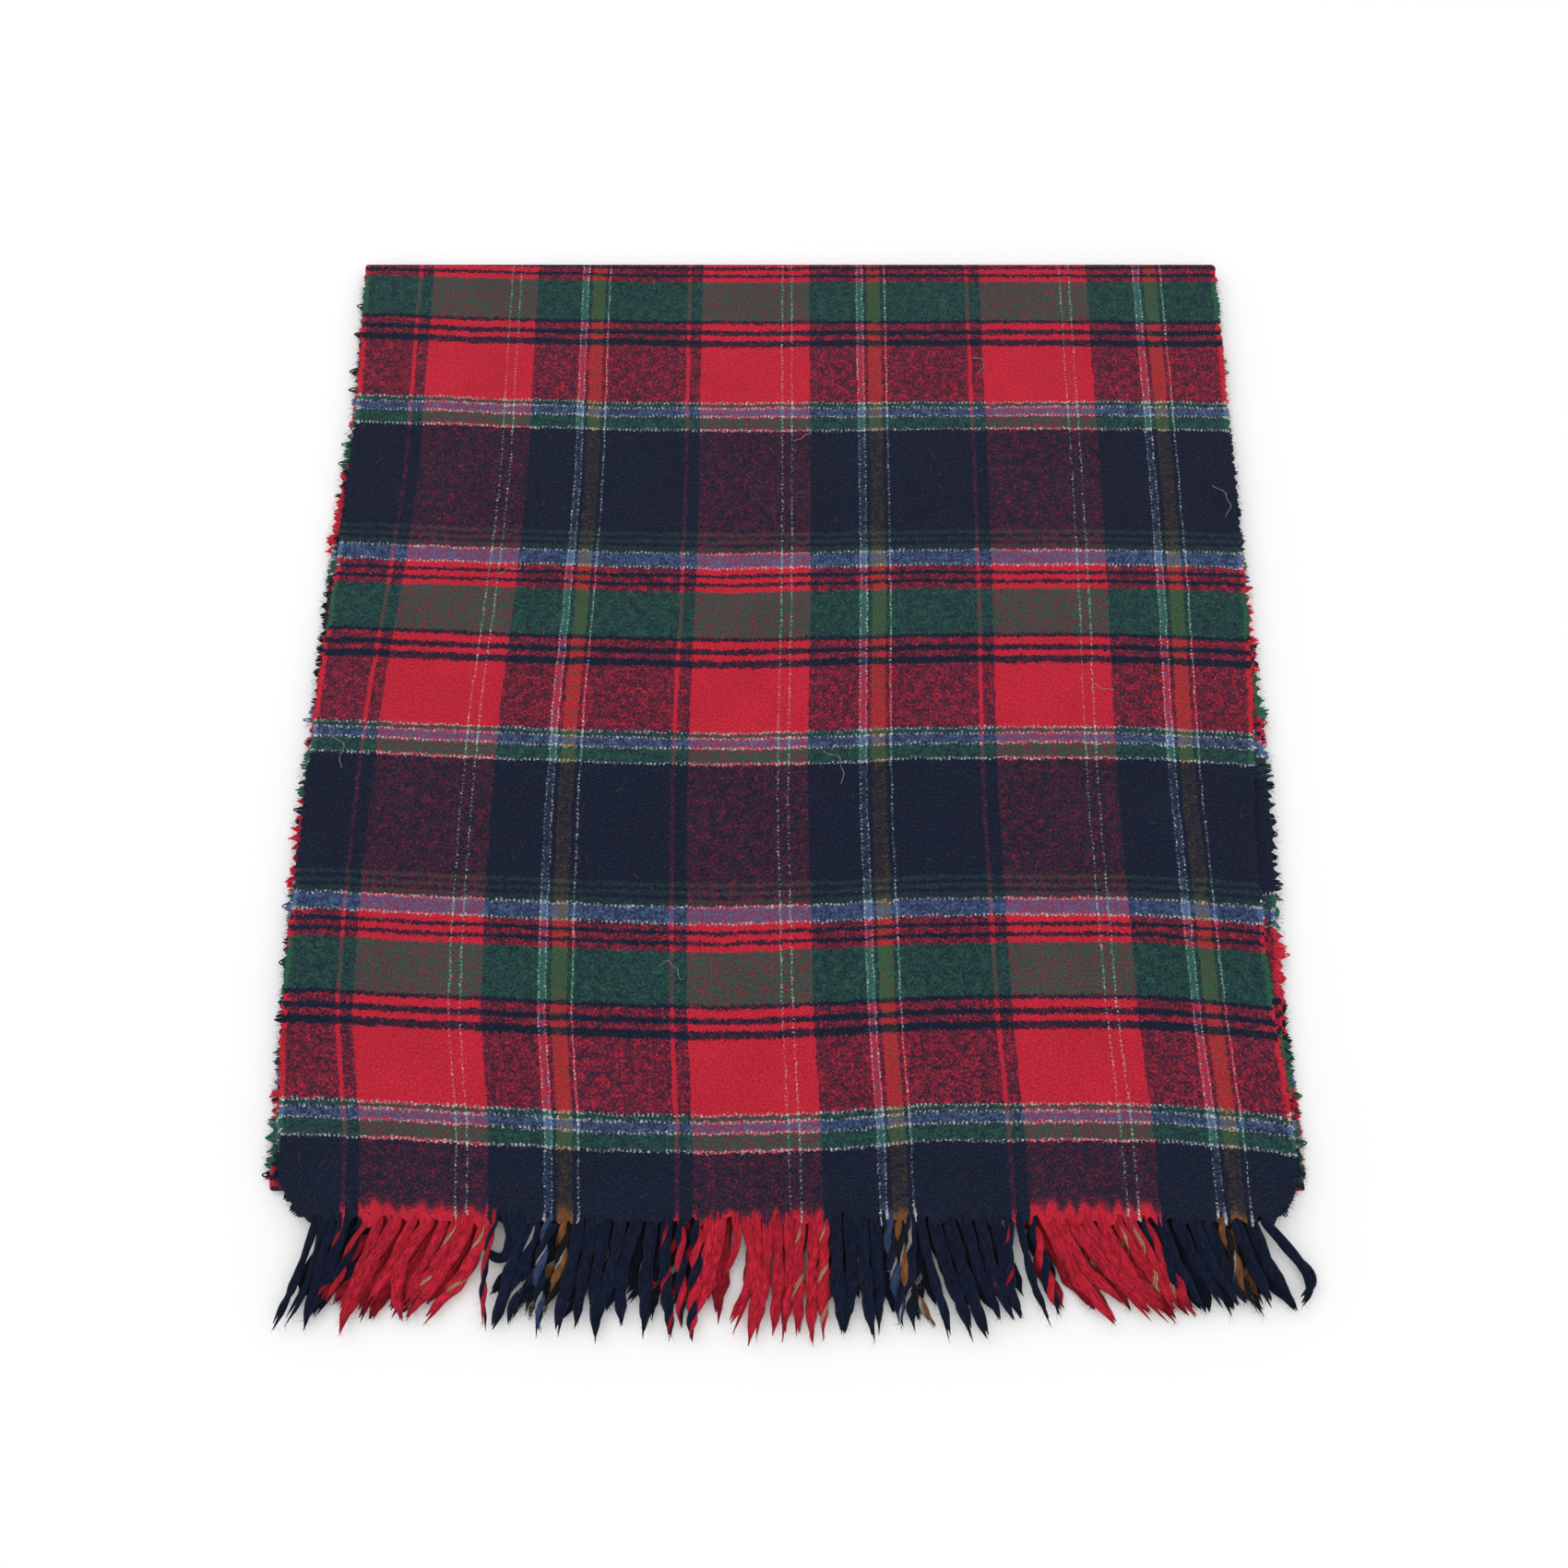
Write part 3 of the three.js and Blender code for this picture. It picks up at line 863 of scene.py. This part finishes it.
# The strands of the upper fringe from left to right: kind, place of the root, sideways swing of the tip,
# length, sideways bow of the middle, and half width.
UPPER_STRANDS = [
    ("n", -281, -21, 61, 1, 2.7), ("n", -277, -17, 60, 2, 2.1), ("n", -272, -12, 62, 0, 4.2),
    ("m", -264, -14, 53, -1, 4.4), ("t", -252, -18, 45, -2, 3.3), ("r", -243, -19, 50, -1, 3.6),
    ("r", -233, -28, 62, -5, 5.2), ("r", -223, -23, 50, -2, 3.8), ("r", -213, -14, 58, -11, 4.6),
    ("r", -204, -21, 44, 0, 3.8), ("c", -196, -27, 50, 0, 4.0), ("r", -189, -33, 56, 0, 4.5),
    ("c", -179, -33, 56, 4, 4.7), ("t", -173, -2, 62, -5, 2.2), ("n", -165, -11, 31, 6, 4.2),
    ("n", -157, -16, 61, 1, 4.5), ("w", -149, -13, 58, -1, 4.1), ("b", -141, -4, 63, -3, 3.8),
    ("o", -131, -11, 53, 2, 3.9), ("n", -123, -11, 62, 0, 4.4), ("n", -115, -9, 59, 0, 4.2),
    ("n", -107, -5, 66, -2, 4.2), ("n", -98, -12, 58, 0, 4.2), ("n", -88, -8, 60, -5, 4.4),
    ("n", -79, -4, 66, -1, 4.2), ("m", -70, 3, 67, -2, 3.9), ("t", -62, 0, 61, 1, 3.6),
    ("t", -52, -3, 70, 1, 4.2), ("r", -45, -6, 53, 1, 4.3), ("r", -38, -7, 47, -1, 4.3),
    ("r", -29, -15, 37, 6, 2.7), ("r", -23, -8, 60, 7, 3.7), ("r", -17, -3, 70, 2, 3.7),
    ("r", -10, -5, 63, 1, 3.8), ("r", -4, -2, 65, 1, 3.7), ("r", 3, -2, 66, 1, 3.8),
    ("c", 10, 0, 63, -2, 4.1), ("r", 18, -3, 69, 0, 3.8), ("c", 24, -1, 65, 0, 3.9),
    ("n", 31, 2, 66, 0, 4.2), ("n", 39, -4, 63, 3, 4.2), ("n", 47, 5, 66, -1, 4.2),
    ("n", 55, 1, 61, 0, 4.2), ("b", 62, 9, 60, 0, 4.1), ("o", 70, 20, 60, -6, 3.8),
    ("w", 76, 1, 63, -1, 3.9), ("n", 82, 16, 65, 0, 3.1), ("n", 90, 21, 65, 0, 4.5),
    ("n", 99, 20, 66, 1, 4.7), ("n", 109, 18, 58, 0, 4.3), ("n", 118, 16, 57, 0, 4.2),
    ("n", 127, 12, 55, 0, 3.8), ("m", 135, 6, 60, -3, 3.6), ("n", 141, 15, 60, 0, 2.7),
    ("t", 149, 14, 55, 1, 3.9), ("r", 159, 36, 61, 0, 5.0), ("r", 166, 34, 50, -2, 4.0),
    ("r", 173, 45, 53, 0, 4.9), ("r", 182, 43, 54, 0, 4.2), ("r", 191, 33, 51, 0, 4.1),
    ("c", 200, 33, 51, 1, 4.0), ("c", 208, 36, 54, 0, 4.0), ("t", 216, 24, 52, 3, 3.7),
    ("n", 226, 22, 52, 0, 4.1), ("n", 236, 25, 49, 0, 4.3), ("n", 246, 22, 49, 0, 4.2),
    ("n", 254, 20, 49, 0, 4.1), ("o", 262, 17, 49, 0, 3.8), ("n", 271, 19, 49, 0, 4.3),
    ("n", 280, 23, 50, 0, 4.6), ("n", 289, 38, 46, 2, 3.9),
]
# Strands whose ends curl: how far they turn, in radians, positive to the left.
CURLS = {"m": {135: -4.2}, "n": {289: -1.5, -165: -1.6}}
LOWER_PITCH = 6.6  # spacing of the lower fringe's strands; they lie close and wide, so that their darkened colours fill the upper fringe's gaps and paint in the shadow there as well
# Where the strands below part as well, so that the ground shows: from and to, halfway down.
GAPS = [(-300, -286), (-192, -168), (-38, -20), (143, 156), (205, 214)]
TIGHT = 27.0  # one full turn of a two-coloured strand
LOOSE = 44.0  # one full turn of a plain strand
# How thick a strand's plies are, and how far apart, from inside the cloth to the tip.
GIRTHS = [0.22, 0.42, 0.60, 0.72, 0.92, 1.0, 0.68, 0.05]
SPREADS = [1.6, 1.5, 1.35, 1.2, 1, 1, 0.8, 0.3]


def kind_at(x):
    """The kind of the upper fringe's strand nearest to x."""
    return min(UPPER_STRANDS, key=lambda row: abs(row[1] - x))[0]


def lower_strands():
    """The second fringe shows in the gaps of the first, so its strands follow the same stripes loosely."""
    rng = np.random.default_rng(72)
    rows = []
    for x in np.arange(-268, 286, LOWER_PITCH):
        x = float(x + rng.uniform(-1.5, 1.5))
        swing = 20.0 * math.tanh((x - 12.0) / 62.0) + rng.normal(0, 5.0)
        row = (kind_at(x), x, swing, rng.uniform(42, 56), rng.normal(0, 2.5), rng.uniform(4.4, 5.8))
        if not any(start < x + swing / 2 < end for start, end in GAPS):
            rows.append(row)
    return rows


def strand_path(kind, root_x, swing, length, bow, rng):
    """The middle line of one strand: distance past the cloth, share of the length, x and y."""
    past = np.linspace(-BURIED, length, PLY_POINTS)
    down = np.clip(past / length, 0, 1)
    x = root_x + swing * down ** 1.15 + bow * np.sin(math.pi * down)
    x = x + 0.9 * np.sin(4.2 * down + rng.uniform(0, 6)) * down
    y = ROOT_Y - past
    step_x, step_y = np.diff(x), np.diff(y)
    turn = CURLS.get(kind, {}).get(root_x, 0.0) * smoothstep(0.55, 1.0, down[1:])
    x[1:] = x[0] + np.cumsum(step_x * np.cos(turn) - step_y * np.sin(turn))
    y[1:] = y[0] + np.cumsum(step_x * np.sin(turn) + step_y * np.cos(turn))
    return past, down, x, y


def strand_yarns(row, layer, fall, rng):
    """The yarns of one strand, each as (piece, (path, radii, colour, texture place, brightness))."""
    kind, root_x, swing, length, bow, half_width = row
    group, plies, wound = KINDS[kind]
    plain = plies[0] == plies[1]
    root = rng.uniform(-5.0, 4.0)  # where the strand leaves the felted edge
    past, down, x, y = strand_path(kind, root_x, swing, length, bow, rng)
    knots = [-BURIED, root - 8, root - 1, root + 6, 0.38 * length, 0.65 * length, 0.85 * length, length]
    girth = half_width * (0.78 if plain else 0.68) * np.interp(past, knots, GIRTHS)
    spread = half_width * (0.30 if plain else 0.42) * np.interp(past, knots, SPREADS)
    pitch = (LOOSE if plain and not wound else TIGHT) * rng.uniform(0.88, 1.12)
    begin = rng.uniform(4, 14) if plain else rng.uniform(-3, 3)
    turn = 2 * math.pi * np.clip(past - begin, 0, None) / pitch
    turn = turn + (0 if plain else rng.uniform(0, math.pi))
    proud = 0.75 * smoothstep(root - 9, root + 2, past) - 0.35
    drop = (fall + rng.uniform(-1.1, 0.9)) * smoothstep(3, 0.75 * length, past)
    z = MIDDLE_Z[layer] + THICK / 2 + proud - girth * 0.8 - drop
    yarns = []
    for ply, colour in enumerate(plies):
        phase = turn + math.pi * ply
        height = z + spread * np.sin(phase) * 0.6 * smoothstep(-4, 6, past)
        path = np.stack([x + spread * np.cos(phase), y, height], axis=1)
        path[:, 1] += smoothstep(0.5, 1.0, down) * rng.uniform(0, 6.0)
        fat = girth * (1 + 0.1 * ripple(past, int(abs(root_x)) * 4 + ply, 8, 26))
        yarns.append((group, (path, fat, colour, rng.uniform(0, 500), rng.uniform(0.85, 1.12))))
    # A wisp beside the tip, so that the end splits.
    aside = rng.uniform(-2.2, 2.2) * down ** 2
    wisp = np.stack([x + aside, y + rng.uniform(-3.5, 4.0) * down ** 3, z + 0.3], axis=1)
    colour = plies[int(rng.integers(0, 2))]
    yarns.append((group, (wisp, girth * 0.55, colour, rng.uniform(0, 500), rng.uniform(0.8, 1.1))))
    if wound:
        groove = np.sqrt(np.clip(girth ** 2 - spread ** 2, 0.3, None)) + 0.35
        thin = np.interp(past, [-BURIED, 1, 7, length * 0.85, length], [0.02, 0.1, 0.62, 0.6, 0.1])
        for step_round, part in ((0.0, 1.0), (0.5, 0.7)):
            phase = turn + math.pi / 2 + step_round
            wander = 0.4 * ripple(past, int(abs(root_x)), 8, 20)
            path = np.stack([
                x + groove * np.cos(phase) + wander, y, z + groove * np.sin(phase) * 0.85,
            ], axis=1)
            yarns.append(("accent", (path, thin * part, wound, rng.uniform(0, 500), rng.uniform(0.85, 1.1))))
    return yarns


def fringe(which, layer, seed, rows, fall, shade):
    """One fringe as three pieces, by the colour of its strands. fall is how far the tips sink, and shade
    darkens all its colours: a painted shade for a fringe that lies in shadow.
    """
    rng = np.random.default_rng(seed)
    groups = {"red": [], "navy": [], "accent": []}
    for row in rows:
        for group, yarn in strand_yarns(row, layer, fall, rng):
            groups[group].append(yarn)
    pieces = []
    for group, yarns in groups.items():
        paths, radii = (np.array([yarn[k] for yarn in yarns]) for k in (0, 1))
        points, faces, run, angle = tubes(paths, radii, PLY_SIDES, 0.8)
        uv = np.empty((*radii.shape, PLY_SIDES, 2))
        tint = np.empty((*radii.shape, PLY_SIDES, 3))
        for k, (_, _, colour, offset, level) in enumerate(yarns):
            uv[k, :, :, 0] = offset + (angle * 2.4)[None, :]
            uv[k, :, :, 1] = run[k][:, None]
            # shade below 1 is painted shade, laid on the yarn's colour
            tint[k] = np.array(YARNS[colour]) * level * shade
        strands = (points, faces, uv.reshape(-1, 2), tint.reshape(-1, 3))
        points, faces, uv, tint = merge([strands, fringe_hair(yarns, rng, shade)])
        points[:, 2] = np.maximum(points[:, 2], 0.15)
        piece = build(f"{which}_fringe_{group}", points, faces, uv, FRINGE_WOOL[group], tint)
        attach(piece, "upper_half")
        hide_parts(*[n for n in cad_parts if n.startswith(f"{which}_fringe_{group}_")])
        pieces.append(piece)
    return pieces


HAIRS_PER_YARN = 16


def fringe_hair(yarns, rng, shade):
    """Loose hairs along the yarns, most of them near the tips. shade darkens their tints as it does the
    yarns': a painted shade.
    """
    roots, tints = [], []
    for path, fat, colour, _, level in yarns:
        at = rng.uniform(0.3, 0.99, HAIRS_PER_YARN) ** 0.7 * (PLY_POINTS - 1)
        low = at.astype(int)
        part = (at - low)[:, None]
        spot = path[low] * (1 - part) + path[np.minimum(low + 1, PLY_POINTS - 1)] * part
        around = rng.uniform(0, 2 * math.pi, HAIRS_PER_YARN)
        spot[:, 0] += np.cos(around) * fat[low] * 0.85
        spot[:, 2] += np.sin(around) * fat[low] * 0.75
        roots.append(spot)
        tints.append(np.repeat([np.array(YARNS[colour]) * level * shade], HAIRS_PER_YARN, axis=0))
    roots, tints = np.concatenate(roots), np.concatenate(tints)
    turn = rng.uniform(-math.pi, 0, len(roots))
    rise = rng.normal(0, 0.25, len(roots))
    heading = np.stack([np.cos(turn) * 0.8, np.sin(turn) - 0.4, rise], axis=1)
    points, faces = hair_tubes(roots, heading, (1.5, 4.5), 1.2, (0.07, 0.11), rng)
    uv = np.repeat(roots[:, :2], HAIR_CORNERS, axis=0)
    return points, faces, uv, np.repeat(tints, HAIR_CORNERS, axis=0)


# shade=1.0 leaves the upper fringe's colours as they are; shade=0.45 paints shade on the lower fringe, which
# lies in shadow under it
upper_fringe = fringe("upper", 1, 71, UPPER_STRANDS, fall=4.6, shade=1.0)
lower_fringe = fringe("lower", 2, 73, lower_strands(), fall=3.4, shade=0.45)

# ---- loose hairs on the top face
SURFACE_HAIRS = 1500
LONG_POINTS = 24
PALE_HAIR = (0.42, 0.42, 0.42)
# Where a long hair lies, which way it runs, and how long it is.
LONG_HAIRS = [
    (-294, -2, -1.2, 30), (35, -14, -1.1, 26), (306, 180, -1.3, 26), (14, 232, 1.2, 16),
    (-186, 128, 0.8, 18), (212, 40, 0.3, 15), (-70, -150, -0.4, 17), (140, 290, 2.0, 14),
]


def surface_hair():
    """Short hairs lying on the brushed face, and a few long pale ones."""
    rng = np.random.default_rng(900)
    x = rng.uniform(-300, 300, SURFACE_HAIRS)
    y = rng.uniform(ROOT_Y + 10, SEAM_OUTER - 10, SURFACE_HAIRS)
    roots = np.stack([x, y, STACK + rng.uniform(-0.05, 0.25, SURFACE_HAIRS)], axis=1)
    turn = rng.uniform(0, 2 * math.pi, SURFACE_HAIRS)
    heading = np.stack([np.cos(turn), np.sin(turn), rng.uniform(0, 0.12, SURFACE_HAIRS)], axis=1)
    points, faces = hair_tubes(roots, heading, (2.0, 7.0), 1.6, (0.06, 0.1), rng)
    tints = np.array([np.array(PALE_HAIR) * 0.5, np.array(RED) * 0.3, np.array(BLUE) * 0.4])
    tint = tints[np.digitize(rng.random(SURFACE_HAIRS), [0.3, 0.6])]
    uv = np.repeat(roots[:, :2], HAIR_CORNERS, axis=0)
    parts = [(points, faces, uv, np.repeat(tint, HAIR_CORNERS, axis=0))]
    t = np.linspace(0, 1, LONG_POINTS)
    for centre_x, centre_y, turn, length in LONG_HAIRS:
        along = (t - 0.5) * length
        wave = 3.2 * np.sin(5.5 * t + turn) + 1.3 * np.sin(13 * t + centre_x)
        x = centre_x + along * math.cos(turn) - wave * math.sin(turn)
        y = centre_y + along * math.sin(turn) + wave * math.cos(turn)
        path = np.stack([x, y, np.full(LONG_POINTS, STACK + 0.25)], axis=1)[None]
        points, faces, _, _ = tubes(path, np.full((1, LONG_POINTS), 0.16), 4)
        parts.append((points, faces, points[:, :2], np.repeat([PALE_HAIR], len(points), axis=0)))
    points, faces, uv, tint = merge(parts)
    piece = build("loose_hairs", points, faces, uv, HAIR_WOOL, tint)
    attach(piece, "upper_half")
    return piece


hairs = surface_hair()

# ---- each layer of cloth with the loops, fringes and hairs that go with it, gathered into a list that is not used further
for layer, piece in layers.items():
    extras = [loops[layer]]
    if layer == 1:
        extras += [*upper_fringe, hairs]
    if layer == 2:
        extras += lower_fringe

# ---- floor and light
FLOOR_M = 4.0  # half its width
floor_mesh = bpy.data.meshes.new("floor")
floor_corners = [(x * FLOOR_M, y * FLOOR_M, 0) for x, y in ((-1, -1), (1, -1), (1, 1), (-1, 1))]
floor_mesh.from_pydata(floor_corners, [], [(0, 1, 2, 3)])
floor = bpy.data.objects.new("floor", floor_mesh)
bpy.context.scene.collection.objects.link(floor)
paper = bpy.data.materials.new("pale_floor")
paper.use_nodes = True
matte = paper.node_tree.nodes["Principled BSDF"].inputs
matte["Base Color"].default_value = (0.95, 0.95, 0.95, 1)
matte["Roughness"].default_value = 0.9
floor_mesh.materials.append(paper)

world = bpy.data.worlds.new("studio")
world.use_nodes = True
sky = world.node_tree.nodes["Background"].inputs
sky["Color"].default_value = (1, 1, 1, 1)
sky["Strength"].default_value = 0.86
bpy.context.scene.world = world


def softbox(name, place, size, power):
    """A square lamp that looks at the origin."""
    light = bpy.data.lights.new(name, "AREA")
    light.shape = "SQUARE"
    light.size = size
    light.energy = power
    box = bpy.data.objects.new(name, light)
    bpy.context.scene.collection.objects.link(box)
    box.location = place
    box.rotation_euler = (-Vector(place)).to_track_quat("-Z", "Y").to_euler()


softbox("key", (-1.0, 1.0, 2.4), 2.4, 16.0)
softbox("fill", (1.2, -0.8, 2.4), 2.4, 8.0)
